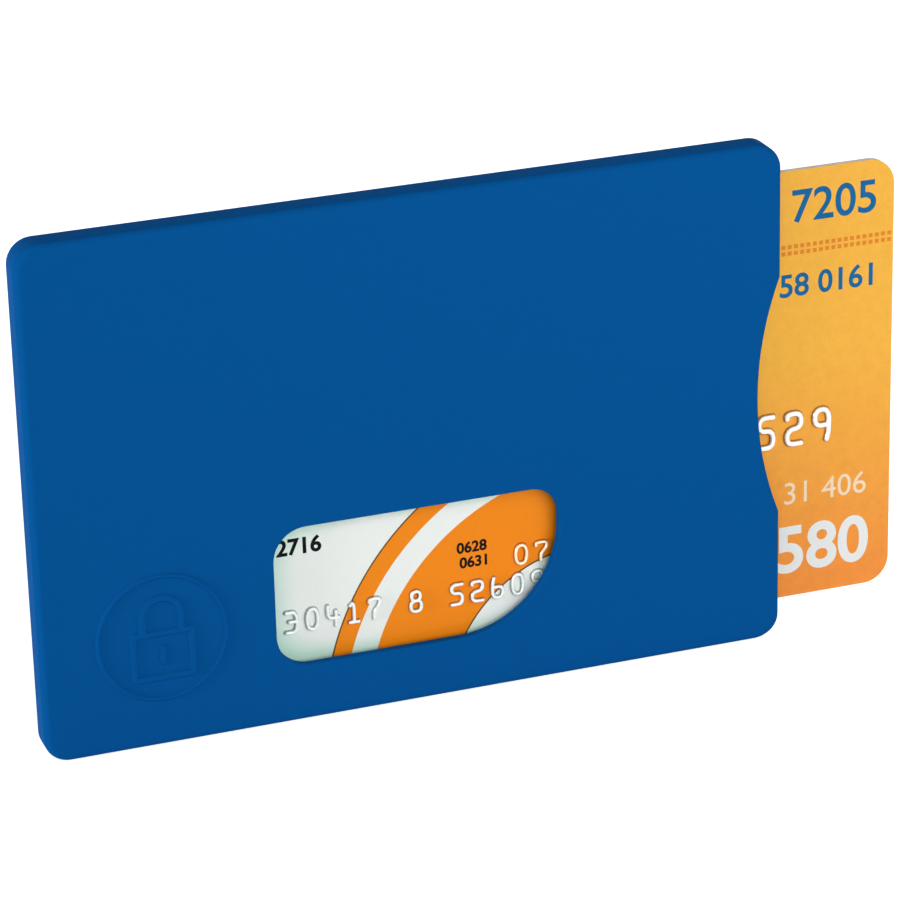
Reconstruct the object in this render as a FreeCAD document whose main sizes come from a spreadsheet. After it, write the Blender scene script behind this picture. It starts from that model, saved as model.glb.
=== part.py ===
"""Hard card sleeve that blocks radio reading, with a contactless card part way out of it.

All sizes are millimetres. X runs along the sleeve towards its open mouth, Y from the windowed
front to the rear, and Z up from the long edge that the sleeve stands on. The origin is the
middle of that edge.
"""
import FreeCAD
import Part
import math
import os
from types import SimpleNamespace

import Sketcher
from FreeCAD import Placement, Rotation, Vector

SHEET = "Sizes"

# name, millimetres (or a count), what it measures
SIZES = (
    # sleeve outline
    ("sleeve_length", 91.0, "closed end to mouth"),
    ("sleeve_depth", 4.0, "front face to rear face"),
    ("sleeve_corner", 3.0, "corner radius of the outline"),
    ("edge_round", 0.8, "rounding of the outer edges"),
    ("mouth_round", 0.3, "rounding of the edges at the mouth and the thumb notch"),
    # moulded halves
    ("face_wall", 1.0, "wall of the front and the rear face"),
    ("rim_wall", 1.2, "wall round the rim"),
    ("parting_behind_middle", 0.4, "parting plane behind mid-depth"),
    ("rail_wall", 0.8, "wall of the rails that guide the card"),
    ("channel_width", 1.91, "hollow between a rail and the rim"),
    ("stop_inset", 3.2, "closed end to the stop that the card meets"),
    ("rib_width", 0.8, "rib that ties a rail to the rim"),
    ("rib_first", 12.0, "closed end to the first rib"),
    ("rib_pitch", 13.4, "rib to rib"),
    ("rib_count", 6, "ribs along each rail"),
    ("tongue_inset", 0.4, "outer face to the weld tongue"),
    ("tongue_width", 0.4, "width of the weld tongue"),
    ("tongue_height", 0.25, "height of the weld tongue"),
    ("weld_clearance", 0.05, "gap between the tongue and its groove"),
    ("mouth_chamfer", 0.3, "lead-in on the inner edges of the mouth"),
    # window in the front half
    ("window_left", 28.0, "closed end to the window"),
    ("window_above_rail", 3.09, "lower rail to the window"),
    ("window_width", 34.9, "window along the sleeve"),
    ("window_height", 17.3, "window across the sleeve"),
    ("window_corner", 4.0, "radius of both corners near the closed end"),
    ("window_top_corner", 3.5, "radius of the upper corner near the mouth"),
    ("window_sweep", 12.5, "radius of the long sweep of the lower corner near the mouth"),
    ("window_round", 0.2, "rounding of the window's front edge"),
    # thumb notch in both halves
    ("notch_radius", 41.3, "radius of the thumb notch"),
    ("notch_depth", 2.75, "mouth to the bottom of the notch"),
    ("notch_blend", 1.0, "radius where the notch runs into the mouth"),
    # raised ring on the front
    ("badge_from_end", 14.4, "closed end to the centre of the ring"),
    ("badge_from_edge", 13.6, "resting edge to the centre of the ring"),
    ("badge_radius", 7.6, "radius of the ring's line"),
    ("badge_line", 0.45, "width of the ring's line"),
    ("badge_height", 0.1, "height of the ring's line"),
    # pips in the rear half that grip the card
    ("pip_radius", 1.2, "radius of a grip pip"),
    ("pip_height", 0.3, "height of a grip pip"),
    ("pip_round", 0.25, "rounding of a grip pip"),
    ("pip_inset", 4.0, "mouth to the pips' centres"),
    ("pip_spread", 42.0, "pip to pip"),
    # shielding sheets and the films that hold them
    ("shield_sheet", 0.1, "thickness of a shielding sheet"),
    ("shield_film", 0.05, "thickness of the adhesive film"),
    ("shield_margin", 0.8, "rail or stop to a sheet's edge"),
    ("shield_from_mouth", 6.0, "mouth to a sheet's edge"),
    ("shield_corner", 3.0, "corner radius of a sheet"),
    ("shield_window_margin", 0.9, "window to the sheet's cut-out"),
    ("film_inset", 0.3, "sheet's edge to the film's edge"),
    # card
    ("card_length", 85.6, "length of a card"),
    ("card_height", 53.98, "height of a card"),
    ("card_corner", 3.18, "corner radius of a card"),
    ("card_overlay", 0.05, "thickness of a clear overlay"),
    ("card_core", 0.27, "thickness of a printed core sheet"),
    ("card_inlay", 0.12, "thickness of the inlay sheet"),
    ("card_reveal", 15.3, "mouth to the card's outer end, as photographed"),
    ("card_edge_clearance", 0.3, "card's edge to a guide rail"),
    ("card_rear_clearance", 0.3, "card to the rear shielding sheet"),
    # chip module
    ("chip_from_left", 15.06, "card's inner end to the module's centre"),
    ("chip_from_top", 23.89, "card's upper edge to the module's centre"),
    ("module_width", 13.0, "module along the card"),
    ("module_height", 11.8, "module across the card"),
    ("module_corner", 1.0, "corner radius of the module"),
    ("module_clearance", 0.05, "module to the wall of its recess"),
    ("module_tape", 0.12, "thickness of the module's tape"),
    ("contact_plate", 0.05, "thickness of the contacts"),
    ("contact_groove", 0.25, "groove between contacts"),
    ("contact_rows", 4, "contacts in each column"),
    ("capsule_width", 8.4, "resin capsule along the card"),
    ("capsule_height", 7.6, "resin capsule across the card"),
    ("capsule_corner", 1.5, "corner radius of the capsule"),
    ("capsule_depth", 0.36, "depth of the capsule behind the tape"),
    ("die_width", 3.2, "chip along the card"),
    ("die_height", 2.6, "chip across the card"),
    ("die_depth", 0.18, "thickness of the chip"),
    # antenna in the inlay
    ("coil_inset", 3.5, "card's edge to the outer turn"),
    ("coil_pitch", 0.9, "turn to turn"),
    ("coil_track", 0.4, "width of the track"),
    ("coil_depth", 0.04, "thickness of the track"),
    ("coil_turns", 4, "turns of the coil"),
    ("coil_lead_spread", 4.0, "between the coil's two leads"),
    # what the card carries on its rear
    ("stripe_from_top", 4.0, "card's upper edge to the magnetic stripe"),
    ("stripe_height", 12.7, "height of the magnetic stripe"),
    ("panel_from_top", 20.5, "card's upper edge to the signature panel"),
    ("panel_from_left", 13.6, "card's inner end to the signature panel"),
    ("panel_from_right", 6.0, "card's outer end to the signature panel"),
    ("panel_height", 8.5, "height of the signature panel"),
    ("rear_film", 0.02, "thickness of the stripe and of the panel"),
)


class Length:
    """A size that holds its number and the expression that binds it to the sheet."""

    def __init__(self, value, text):
        self.value = value
        self.text = text

    @staticmethod
    def of(other):
        return other if isinstance(other, Length) else Length(other, str(other))

    def joined(self, sign, other, value):
        return Length(value, f"({self.text} {sign} {Length.of(other).text})")

    def __add__(self, other):
        return self.joined("+", other, self.value + Length.of(other).value)

    def __sub__(self, other):
        return self.joined("-", other, self.value - Length.of(other).value)

    def __mul__(self, other):
        return self.joined("*", other, self.value * Length.of(other).value)

    def __truediv__(self, other):
        return self.joined("/", other, self.value / Length.of(other).value)

    def __neg__(self):
        return Length(-self.value, f"(0 - {self.text})")


ZERO = Length(0.0, "0")


def new_sheet(doc):
    """The sheet of driving sizes: name, number and meaning, with the name as the alias."""
    sheet = doc.addObject("Spreadsheet::Sheet", SHEET)
    for row, (alias, value, meaning) in enumerate(SIZES, start=1):
        sheet.set(f"A{row}", alias)
        sheet.set(f"B{row}", str(value))
        sheet.set(f"C{row}", meaning)
        sheet.setAlias(f"B{row}", alias)
    doc.recompute()
    return sheet


def read_sizes(sheet):
    """Every alias of the sheet as a Length."""
    names = [alias for alias, _, _ in SIZES]
    return SimpleNamespace(**{n: Length(float(getattr(sheet, n)), f"{SHEET}.{n}") for n in names})


def new_body(doc, name):
    body = doc.addObject("PartDesign::Body", name)
    body.Label = name
    return body


def new_sketch(body, name, corner, depth):
    """A sketch parallel to the faces, at depth along Y: x along X and y along Z, from corner."""
    sketch = body.newObject("Sketcher::SketchObject", name)
    plane = [p for p in body.Origin.OriginFeatures if p.Role == "XZ_Plane"][0]
    sketch.AttachmentSupport = [(plane, "")]
    sketch.MapMode = "FlatFace"
    base = (corner[0], corner[1], -depth)
    sketch.AttachmentOffset = Placement(Vector(*(b.value for b in base)), Rotation())
    for axis, length in zip("xyz", base):
        sketch.setExpression(f"AttachmentOffset.Base.{axis}", length.text)
    return sketch


def dimension(sketch, kind, where, length):
    """A dimension bound to the sheet. where is the geometry and point numbers it takes."""
    index = sketch.addConstraint(Sketcher.Constraint(kind, *where, length.value))
    sketch.setExpression(f"Constraints[{index}]", length.text)


def place_point(sketch, geometry, point, x, y):
    """Fixes a point from the sketch's own corner, on an axis where the distance is zero."""
    for kind, length, axis in (("DistanceX", x, -2), ("DistanceY", y, -1)):
        if length is ZERO:
            sketch.addConstraint(Sketcher.Constraint("PointOnObject", geometry, point, axis))
        else:
            dimension(sketch, kind, (-1, 1, geometry, point), length)


def add_box(sketch, left, bottom, width, height, radii=(None,) * 4):
    """A closed outline of four sides. radii are the corners' from the lower left,
    anticlockwise, and None leaves a corner sharp."""
    low_x, low_y = left.value, bottom.value
    high_x, high_y = low_x + width.value, low_y + height.value
    r = [radius.value if radius else 0.0 for radius in radii]
    ends = (
        ((low_x + r[0], low_y), (high_x - r[1], low_y)),
        ((high_x, low_y + r[1]), (high_x, high_y - r[2])),
        ((high_x - r[2], high_y), (low_x + r[3], high_y)),
        ((low_x, high_y - r[3]), (low_x, low_y + r[0])),
    )
    sides = [sketch.addGeometry(Part.LineSegment(Vector(*a), Vector(*b))) for a, b in ends]
    for side, direction in zip(sides, ("Horizontal", "Vertical") * 2):
        sketch.addConstraint(Sketcher.Constraint(direction, side))
    centres = (
        (low_x + r[0], low_y + r[0]),
        (high_x - r[1], low_y + r[1]),
        (high_x - r[2], high_y - r[2]),
        (low_x + r[3], high_y - r[3]),
    )
    for number, (centre, radius) in enumerate(zip(centres, radii)):
        before, after = sides[number - 1], sides[number]
        if radius is None:
            sketch.addConstraint(Sketcher.Constraint("Coincident", before, 2, after, 1))
            continue
        start = math.pi * (1 + number / 2)
        circle = Part.Circle(Vector(*centre), Vector(0, 0, 1), radius.value)
        arc = sketch.addGeometry(Part.ArcOfCircle(circle, start, start + math.pi / 2))
        sketch.addConstraint(Sketcher.Constraint("Tangent", before, 2, arc, 1))
        sketch.addConstraint(Sketcher.Constraint("Tangent", arc, 2, after, 1))
        dimension(sketch, "Radius", (arc,), radius)
    bottom_side, right_side, top_side, left_side = sides
    for kind, length, axis, side in (
        ("DistanceX", left, -2, left_side),
        ("DistanceY", bottom, -1, bottom_side),
    ):
        if length is ZERO:
            sketch.addConstraint(Sketcher.Constraint("PointOnObject", side, 1, axis))
        else:
            dimension(sketch, kind, (-1, 1, side, 1), length)
    dimension(sketch, "DistanceX", (left_side, 1, right_side, 1), width)
    dimension(sketch, "DistanceY", (bottom_side, 1, top_side, 1), height)


def add_circle(sketch, x, y, radius):
    circle = Part.Circle(Vector(x.value, y.value), Vector(0, 0, 1), radius.value)
    index = sketch.addGeometry(circle)
    dimension(sketch, "Radius", (index,), radius)
    place_point(sketch, index, 3, x, y)


def solid_volume(body):
    shape = body.Shape
    return 0.0 if shape.isNull() else shape.Volume


def extrude(body, kind, name, sketch, length, to_rear):
    """A Pad or Pocket of a sketch. A sketch's normal points to the front, so a Pad runs to the
    front and a Pocket to the rear unless it is reversed. Each has to change the volume."""
    before = solid_volume(body)
    feature = body.newObject(f"PartDesign::{kind}", name)
    feature.Profile = sketch
    feature.Reversed = to_rear == (kind == "Pad")
    feature.Length = length.value
    feature.setExpression("Length", length.text)
    body.Document.recompute()
    gained = solid_volume(body) - before
    if (kind == "Pad" and gained <= 0) or (kind == "Pocket" and gained >= 0):
        raise RuntimeError(f"{body.Label}: {name} changes the volume by {gained:.4f}")
    return feature


def edge_names(shape, wanted):
    """Names of the edges for which wanted(edge) is true."""
    return [f"Edge{number}" for number, edge in enumerate(shape.Edges, start=1) if wanted(edge)]


def soften(body, kind, name, base, wanted, size_property, length):
    """A Fillet or Chamfer of the edges that wanted picks."""
    feature = body.newObject(f"PartDesign::{kind}", name)
    names = edge_names(base.Shape, wanted)
    if not names:
        raise RuntimeError(f"{body.Label}: {name} finds no edge")
    feature.Base = (base, names)
    setattr(feature, size_property, length.value)
    feature.setExpression(size_property, length.text)
    body.Document.recompute()
    return feature


NEAR = 1e-4  # two coordinates closer than this are the same


def lies_at(edge, y):
    """Whether all of an edge lies at depth y."""
    box = edge.BoundBox
    return abs(box.YMin - y) < NEAR and abs(box.YMax - y) < NEAR


# ------------------------------------------------------------------ places shared by the pieces


def shared_places(s):
    """Depths and outlines that more than one piece takes its place from."""
    p = SimpleNamespace()
    p.front_face = -(s.sleeve_depth / 2)
    p.rear_face = s.sleeve_depth / 2
    p.parting = s.parting_behind_middle
    p.front_inner = p.front_face + s.face_wall
    p.rear_inner = p.rear_face - s.face_wall
    p.sleeve_corner = (-(s.sleeve_length / 2), ZERO)
    # the bay that the card slides in, and the sleeve's height round it
    p.bay_bottom = s.rim_wall + s.channel_width + s.rail_wall
    p.bay_height = s.card_height + s.card_edge_clearance * 2
    p.sleeve_height = p.bay_height + p.bay_bottom * 2
    p.window_bottom = p.bay_bottom + s.window_above_rail
    p.bay_length = s.sleeve_length - s.stop_inset
    p.bay_corner = s.card_corner + s.card_edge_clearance
    # the card's own corner, front and thickness
    p.card_thickness = s.card_overlay * 2 + s.card_core * 2 + s.card_inlay
    p.card_corner = (
        s.sleeve_length / 2 + s.card_reveal - s.card_length,
        p.bay_bottom + s.card_edge_clearance,
    )
    p.card_rear = p.rear_inner - s.shield_film - s.shield_sheet - s.card_rear_clearance
    p.card_front = p.card_rear - p.card_thickness
    p.module_bottom = s.card_height - s.chip_from_top - s.module_height / 2
    p.module_left = s.chip_from_left - s.module_width / 2
    p.tape_front = p.card_front + s.contact_plate
    p.capsule_front = p.tape_front + s.module_tape
    p.inlay_front = p.card_front + s.card_overlay + s.card_core
    p.rear_core_front = p.inlay_front + s.card_inlay
    return p


def window_outline(sketch, s, p, grow):
    """The window's outline, or one that is larger by grow all round."""
    corner = s.window_corner + grow
    add_box(
        sketch,
        s.window_left - grow,
        p.window_bottom - grow,
        s.window_width + grow * 2,
        s.window_height + grow * 2,
        (corner, s.window_sweep + grow, s.window_top_corner + grow, corner),
    )


def notch_outline(sketch, s, p):
    """The thumb notch: a wide arc cut into the mouth, run into it by a small arc at each end."""
    middle = p.sleeve_height / 2
    radius, blend = s.notch_radius.value, s.notch_blend.value
    centre_x = s.sleeve_length - s.notch_depth + s.notch_radius
    blend_x = s.sleeve_length.value - blend
    across = centre_x.value - blend_x
    along = math.sqrt((radius + blend) ** 2 - across**2)
    turn = math.atan2(along, across)
    normal = Vector(0, 0, 1)

    def arc(x, y, r, start, end):
        return sketch.addGeometry(Part.ArcOfCircle(Part.Circle(Vector(x, y), normal, r), start, end))

    low, high = middle.value - along, middle.value + along
    far = s.sleeve_length.value + s.notch_depth.value
    wide = arc(centre_x.value, middle.value, radius, math.pi - turn, math.pi + turn)
    upper = arc(blend_x, high, blend, -turn, 0)
    lower = arc(blend_x, low, blend, 0, turn)
    mouth = s.sleeve_length.value
    corners = (Vector(mouth, high), Vector(far, high), Vector(far, low), Vector(mouth, low))
    out, down, back = (
        sketch.addGeometry(Part.LineSegment(a, b)) for a, b in zip(corners, corners[1:])
    )
    for constraint in (
        ("Tangent", upper, 1, wide, 1),
        ("Tangent", lower, 2, wide, 2),
        ("Horizontal", upper, 3, upper, 2),
        ("Horizontal", lower, 3, lower, 1),
        ("Coincident", upper, 2, out, 1),
        ("Coincident", out, 2, down, 1),
        ("Coincident", down, 2, back, 1),
        ("Coincident", back, 2, lower, 1),
        ("Horizontal", out),
        ("Vertical", down),
        ("Horizontal", back),
    ):
        sketch.addConstraint(Sketcher.Constraint(*constraint))
    dimension(sketch, "Radius", (wide,), s.notch_radius)
    dimension(sketch, "Radius", (upper,), s.notch_blend)
    dimension(sketch, "Radius", (lower,), s.notch_blend)
    place_point(sketch, wide, 3, centre_x, middle)
    dimension(sketch, "DistanceX", (-1, 1, upper, 2), s.sleeve_length)
    dimension(sketch, "DistanceX", (-1, 1, lower, 1), s.sleeve_length)
    dimension(sketch, "DistanceX", (out, 1, out, 2), s.notch_depth)


# ------------------------------------------------------------------ moulded halves


def half_shell(doc, s, p, name, to_rear):
    """What both halves have: a tray with rails, ribs, an open mouth and a thumb notch.
    to_rear tells which way the tray's floor lies from the parting plane."""
    body = new_body(doc, f"{name}_moulding")
    half_depth = p.rear_face - p.parting if to_rear else p.parting - p.front_face
    inner_depth = half_depth - s.face_wall

    def sketch(label, depth=p.parting):
        return new_sketch(body, f"{name}_{label}", p.sleeve_corner, depth)

    def cut(label, profile, length):
        return extrude(body, "Pocket", f"{name}_{label}_cut", profile, length, to_rear)

    def add(label, profile, length, rearward=to_rear):
        return extrude(body, "Pad", f"{name}_{label}_pad", profile, length, rearward)

    outline = sketch("outline")
    add_box(outline, ZERO, ZERO, s.sleeve_length, p.sleeve_height, (s.sleeve_corner,) * 4)
    add("outline", outline, half_depth)

    tray = sketch("tray")
    tray_corner = s.sleeve_corner - s.rim_wall
    tray_length = s.sleeve_length - s.rim_wall * 2
    tray_height = p.sleeve_height - s.rim_wall * 2
    add_box(tray, s.rim_wall, s.rim_wall, tray_length, tray_height, (tray_corner,) * 4)
    cut("tray", tray, inner_depth)

    # the rails are a ring round the bay whose fourth side lies within the mouth's wall
    rails = sketch("rails")
    rail_root = s.rim_wall / 2
    outer_corner = p.bay_corner + s.rail_wall
    add_box(
        rails,
        s.stop_inset - s.rail_wall,
        p.bay_bottom - s.rail_wall,
        p.bay_length + s.rail_wall - rail_root / 2,
        p.bay_height + s.rail_wall * 2,
        (outer_corner, None, None, outer_corner),
    )
    add_box(
        rails,
        s.stop_inset,
        p.bay_bottom,
        p.bay_length - rail_root,
        p.bay_height,
        (p.bay_corner, None, None, p.bay_corner),
    )
    add("rails", rails, inner_depth)

    ribs = sketch("ribs")
    rib_left = s.rib_first - s.rib_width / 2
    rib_height = p.bay_bottom - s.rail_wall / 2 - s.rim_wall / 2
    rib_top = p.sleeve_height - s.rim_wall / 2 - rib_height
    add_box(ribs, rib_left, s.rim_wall / 2, s.rib_width, rib_height)
    add_box(ribs, rib_left, rib_top, s.rib_width, rib_height)
    first_ribs = add("ribs", ribs, inner_depth)
    row = body.newObject("PartDesign::LinearPattern", f"{name}_rib_row")
    row.Originals = [first_ribs]
    row.Direction = (ribs, ["H_Axis"])
    row.setExpression("Length", (s.rib_pitch * (s.rib_count - 1)).text)
    row.setExpression("Occurrences", s.rib_count.text)
    before = solid_volume(body)
    body.Tip = row
    doc.recompute()
    if solid_volume(body) <= before:
        raise RuntimeError(f"{name}: the row of ribs adds nothing")

    # the weld: a tongue all round the rear half, in a groove of the front half
    weld = sketch("weld")
    spare = ZERO if to_rear else s.weld_clearance
    outer = s.tongue_inset - spare
    inner = s.tongue_inset + s.tongue_width + spare
    for inset in (outer, inner):
        length = s.sleeve_length - inset * 2
        height = p.sleeve_height - inset * 2
        add_box(weld, inset, inset, length, height, (s.sleeve_corner - inset,) * 4)
    if to_rear:
        add("tongue", weld, s.tongue_height, rearward=False)
    else:
        cut("groove", weld, s.tongue_height + spare)

    # the mouth and the notch also cut the tongue, which stands in front of the parting plane
    beyond = p.parting - s.tongue_height if to_rear else p.parting
    mouth = sketch("mouth", beyond)
    add_box(mouth, s.sleeve_length - s.rim_wall * 2, p.bay_bottom, s.rim_wall * 4, p.bay_height)
    cut("mouth", mouth, inner_depth + s.tongue_height if to_rear else inner_depth)

    notch = sketch("notch")
    notch_outline(notch, s, p)
    cut("notch", notch, half_depth)
    return body


def lead_in(body, s, p, name, inner_face):
    """The chamfer inside the mouth, along the wall's inner edge and round the notch."""
    behind_notch = s.sleeve_length.value / 2 - s.notch_depth.value - NEAR
    low = p.bay_bottom.value - NEAR
    high = low + p.bay_height.value + 2 * NEAR

    def is_mouth_edge(edge):
        box = edge.BoundBox
        across = box.ZLength > NEAR and box.ZMin > low and box.ZMax < high
        return lies_at(edge, inner_face.value) and box.XMin > behind_notch and across

    soften(body, "Chamfer", f"{name}_lead_in", body.Tip, is_mouth_edge, "Size", s.mouth_chamfer)


def rounded_shell(doc, s, p, body, name, outer_face):
    """The half with its outer edges rounded: fully along the closed sides, and fading round
    the corners to the small rounding of the mouth and the notch."""
    mouth_x = s.sleeve_length.value / 2
    closed_x = mouth_x - s.notch_depth.value
    large, small = s.edge_round.value, s.mouth_round.value

    def radius_at(point):
        return small if point.x > mouth_x - NEAR else large

    def on_outline(edge):
        box = edge.BoundBox
        at_mouth = box.XMin > closed_x - s.edge_round.value
        touches_side = (
            box.XMin < -mouth_x + NEAR
            or box.ZMin < NEAR
            or box.ZMax > p.sleeve_height.value - NEAR
        )
        return lies_at(edge, outer_face.value) and (at_mouth or touches_side)

    rounded = doc.addObject("Part::Fillet", name)
    rounded.Label = name
    rounded.Base = body
    edges = []
    for number, edge in enumerate(body.Shape.Edges, start=1):
        if not on_outline(edge):
            continue
        first, last = (edge.valueAt(x) for x in (edge.FirstParameter, edge.LastParameter))
        in_notch = min(first.x, last.x) > closed_x - NEAR and edge.BoundBox.XMin > closed_x - NEAR
        corner = edge.BoundBox.ZMin < NEAR or edge.BoundBox.ZMax > p.sleeve_height.value - NEAR
        if in_notch and not corner:
            edges.append((number, small, small))
        else:
            edges.append((number, radius_at(first), radius_at(last)))
    rounded.Edges = edges
    doc.recompute()
    if not 0 < rounded.Shape.Volume < body.Shape.Volume:
        raise RuntimeError(f"{name}: its outer edges were not rounded")
    return rounded


def front_shell(doc, s, p):
    name = "front_shell"
    body = half_shell(doc, s, p, name, to_rear=False)

    window = new_sketch(body, f"{name}_window", p.sleeve_corner, p.front_inner)
    window_outline(window, s, p, ZERO)
    extrude(body, "Pocket", f"{name}_window_cut", window, s.face_wall, to_rear=False)

    def is_window_edge(edge):
        box = edge.BoundBox
        end = -s.sleeve_length.value / 2
        left = end + s.window_left.value - NEAR
        right = left + s.window_width.value + 2 * NEAR
        low = p.window_bottom.value - NEAR
        high = low + s.window_height.value + 2 * NEAR
        within = box.XMin > left and box.XMax < right and box.ZMin > low and box.ZMax < high
        return lies_at(edge, p.front_face.value) and within

    soften(body, "Fillet", f"{name}_window_edge", body.Tip, is_window_edge, "Radius", s.window_round)
    lead_in(body, s, p, name, p.front_inner)

    badge = new_sketch(body, f"{name}_badge", p.sleeve_corner, p.front_face)
    for radius in (s.badge_radius - s.badge_line / 2, s.badge_radius + s.badge_line / 2):
        add_circle(badge, s.badge_from_end, s.badge_from_edge, radius)
    extrude(body, "Pad", f"{name}_badge_pad", badge, s.badge_height, to_rear=False)
    return rounded_shell(doc, s, p, body, name, p.front_face)


def rear_shell(doc, s, p):
    name = "rear_shell"
    body = half_shell(doc, s, p, name, to_rear=True)
    lead_in(body, s, p, name, p.rear_inner)

    pips = new_sketch(body, f"{name}_pips", p.sleeve_corner, p.rear_inner)
    for side in (-1, 1):
        height = (p.sleeve_height + s.pip_spread * side) / 2
        add_circle(pips, s.sleeve_length - s.pip_inset, height, s.pip_radius)
    extrude(body, "Pad", f"{name}_pips_pad", pips, s.pip_height, to_rear=False)
    pip_top = p.rear_inner - s.pip_height

    def is_pip_edge(edge):
        return lies_at(edge, pip_top.value) and edge.Length < 7 * s.pip_radius.value

    soften(body, "Fillet", f"{name}_pip_round", body.Tip, is_pip_edge, "Radius", s.pip_round)
    return rounded_shell(doc, s, p, body, name, p.rear_face)


# ------------------------------------------------------------------ shielding


def sheet_piece(doc, s, p, name, inset, depth, thickness, window_margin):
    """A sheet or a film that lies on a wall inside the bay, with a cut-out for the window
    where window_margin is given."""
    body = new_body(doc, name)
    margin = s.shield_margin + inset
    outline = new_sketch(body, f"{name}_outline", p.sleeve_corner, depth)
    add_box(
        outline,
        s.stop_inset + margin,
        p.bay_bottom + margin,
        p.bay_length - s.shield_from_mouth - s.shield_margin - inset * 2,
        p.bay_height - margin * 2,
        (s.shield_corner - inset,) * 4,
    )
    extrude(body, "Pad", f"{name}_pad", outline, thickness, to_rear=True)
    if window_margin:
        window = new_sketch(body, f"{name}_window", p.sleeve_corner, depth)
        window_outline(window, s, p, window_margin)
        extrude(body, "Pocket", f"{name}_window_cut", window, thickness, to_rear=True)
    return body


def shielding(doc, s, p):
    """An aluminium sheet behind each wall, held to it by an adhesive film."""
    front_sheet = p.front_inner + s.shield_film
    rear_sheet = p.rear_inner - s.shield_film - s.shield_sheet
    rear_film = p.rear_inner - s.shield_film
    margin = s.shield_window_margin
    flush, inset = ZERO, s.film_inset
    return [
        sheet_piece(doc, s, p, "front_shield", flush, front_sheet, s.shield_sheet, margin),
        sheet_piece(
            doc, s, p, "front_shield_film", inset, p.front_inner, s.shield_film, margin + inset
        ),
        sheet_piece(doc, s, p, "rear_shield", flush, rear_sheet, s.shield_sheet, None),
        sheet_piece(doc, s, p, "rear_shield_film", inset, rear_film, s.shield_film, None),
    ]


# ------------------------------------------------------------------ card


def card_sheet(doc, s, p, name, depth, thickness):
    """One of the sheets that the card is laminated from."""
    body = new_body(doc, name)
    outline = new_sketch(body, f"{name}_outline", p.card_corner, depth)
    add_box(outline, ZERO, ZERO, s.card_length, s.card_height, (s.card_corner,) * 4)
    extrude(body, "Pad", f"{name}_pad", outline, thickness, to_rear=True)
    return body


def module_recess(body, s, p, depth, length):
    """The recess that takes the module's contacts and tape."""
    spare = s.module_clearance
    sketch = new_sketch(body, f"{body.Name}_module", p.card_corner, depth)
    add_box(
        sketch,
        p.module_left - spare,
        p.module_bottom - spare,
        s.module_width + spare * 2,
        s.module_height + spare * 2,
        (s.module_corner + spare,) * 4,
    )
    extrude(body, "Pocket", f"{body.Name}_module_cut", sketch, length, to_rear=True)


def capsule_recess(body, s, p, depth, length):
    """The deeper recess that takes the module's resin capsule."""
    spare = s.module_clearance
    sketch = new_sketch(body, f"{body.Name}_capsule", p.card_corner, depth)
    add_box(
        sketch,
        s.chip_from_left - s.capsule_width / 2 - spare,
        s.card_height - s.chip_from_top - s.capsule_height / 2 - spare,
        s.capsule_width + spare * 2,
        s.capsule_height + spare * 2,
        (s.capsule_corner + spare,) * 4,
    )
    extrude(body, "Pocket", f"{body.Name}_capsule_cut", sketch, length, to_rear=True)


def card_front(doc, s, p):
    overlay = card_sheet(doc, s, p, "card_front_overlay", p.card_front, s.card_overlay)
    module_recess(overlay, s, p, p.card_front, s.card_overlay)

    core_front = p.card_front + s.card_overlay
    core = card_sheet(doc, s, p, "card_front_core", core_front, s.card_core)
    module_recess(core, s, p, core_front, p.capsule_front - core_front)
    capsule_recess(core, s, p, p.capsule_front, p.inlay_front - p.capsule_front)
    return [overlay, core]


def track(points, width, depth, thickness):
    """A flat track along a path of square turns, given as points in X and Z."""
    sides = ([], [])
    for number, point in enumerate(points):
        before = points[max(number - 1, 0)]
        after = points[min(number + 1, len(points) - 1)]
        into = (point - before).normalize() if number else (after - point).normalize()
        out = (after - point).normalize() if number < len(points) - 1 else into
        left_in, left_out = Vector(-into.y, into.x), Vector(-out.y, out.x)
        shift = left_in if (left_in - left_out).Length < NEAR else left_in + left_out
        sides[0].append(point + shift * (width / 2))
        sides[1].append(point - shift * (width / 2))
    ring = [Vector(q.x, depth, q.y) for q in sides[0] + sides[1][::-1]]
    return Part.Face(Part.makePolygon(ring + ring[:1])).extrude(Vector(0, thickness, 0))


def antenna(doc, s, p):
    """The card's coil: a flat square spiral in the inlay's front. Its outer end goes through
    the sheet and back to the chip by a bridge behind the turns, as on an etched inlay."""
    x0, z0 = (c.value for c in p.card_corner)
    inset, pitch, width = s.coil_inset.value, s.coil_pitch.value, s.coil_track.value
    length, height = s.card_length.value, s.card_height.value
    chip_x = s.chip_from_left.value - s.capsule_width.value / 2 - width * 2
    chip_z = height - s.chip_from_top.value
    low_lead = chip_z - s.coil_lead_spread.value / 2
    high_lead = chip_z + s.coil_lead_spread.value / 2
    path = [(inset, low_lead)]
    for turn in range(int(s.coil_turns.value)):
        at = inset + turn * pitch
        path += [(at, at), (length - at, at), (length - at, height - at), (at + pitch, height - at)]
    path += [(path[-1][0], high_lead), (chip_x, high_lead)]
    points = [Vector(x0 + x, z0 + z) for x, z in path]
    front, depth = p.inlay_front.value, s.coil_depth.value
    sheet = s.card_inlay.value
    spiral = track(points, width, front, depth)
    ends = [points[0], Vector(x0 + chip_x, z0 + low_lead)]
    bridge = track(ends, width, front + sheet - depth, depth)
    pads = []
    for end in ends:
        pad_corner = Vector(end.x - width, front, end.y - width)
        pads.append(Part.makeBox(width * 2, sheet, width * 2, pad_corner))
    coil = doc.addObject("Part::Feature", "card_antenna")
    coil.Label = "card_antenna"
    coil.Shape = spiral.fuse([bridge, *pads]).removeSplitter()
    coil.Placement = Placement()
    return coil


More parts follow.
